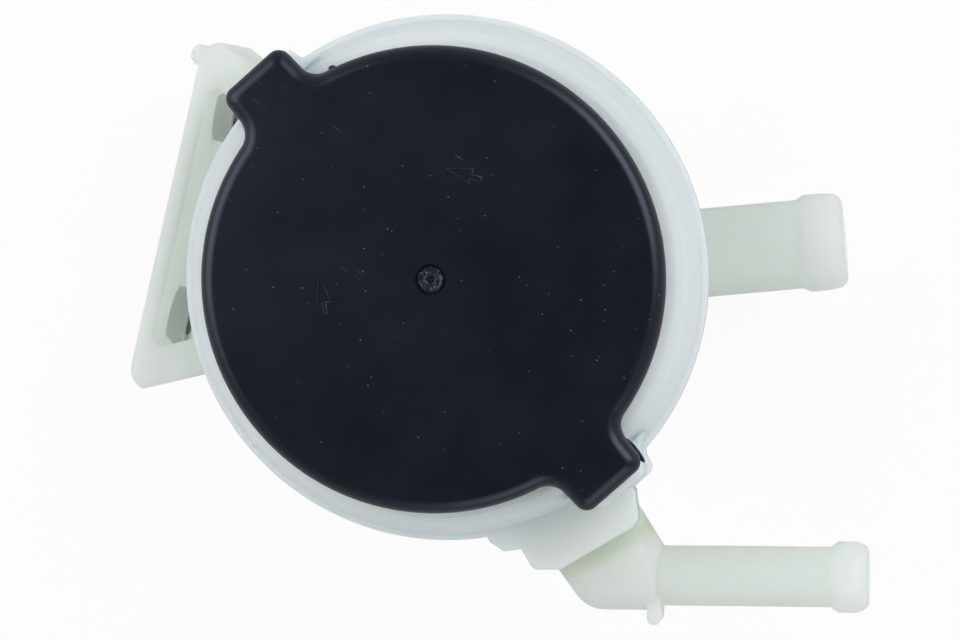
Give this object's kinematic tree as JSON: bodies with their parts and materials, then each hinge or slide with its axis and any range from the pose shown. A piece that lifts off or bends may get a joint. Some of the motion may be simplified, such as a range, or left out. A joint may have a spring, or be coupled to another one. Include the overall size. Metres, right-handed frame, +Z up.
{
  "type": "power steering reservoir",
  "caption": "Round translucent power steering reservoir with a twist-lock hand cap, large and small hose spigots, an internal return filter and a bolt bracket.",
  "frame": {"origin": "centre of the flat base, on the tank's axis", "axes": "+Z up the tank's axis through the cap, +X towards the spigots, +Y to the rear"},
  "size_m": [0.1563, 0.128, 0.0843],
  "materials": {
    "cap_black": "matte moulded with a satin edge",
    "rubber_black": "smooth",
    "clear_upper": "translucent, bluish white",
    "natural_lower": "translucent, yellowish green white",
    "inner_white": "matte",
    "filter_gauze": "fine woven gauze",
    "sleeve_steel": "zinc plated"
  },
  "bodies": {
    "tank": {"lower_housing": "natural_lower", "upper_housing": "clear_upper", "filter_frame": "inner_white", "filter_mesh": "filter_gauze", "sleeve_rear": "sleeve_steel", "sleeve_front": "sleeve_steel"},
    "seal": {"cap_gasket": "rubber_black"},
    "lid": {"cap": "cap_black", "splash_baffle": "inner_white"}
  },
  "joints": [
    {"name": "cap_rise", "type": "slide", "parent": "tank", "child": "seal", "axis": [0, 0, 1], "range_m": [0, 0.0015]},
    {"name": "cap_turn", "type": "hinge", "parent": "seal", "child": "lid", "pos_m": [0, 0, 0.08], "axis": [0, 0, 1], "range_deg": [0, 50]}
  ],
  "couplings": [
    {"joint": "cap_rise", "follows": "cap_turn", "m_per_rad": 0.0017188}
  ]
}
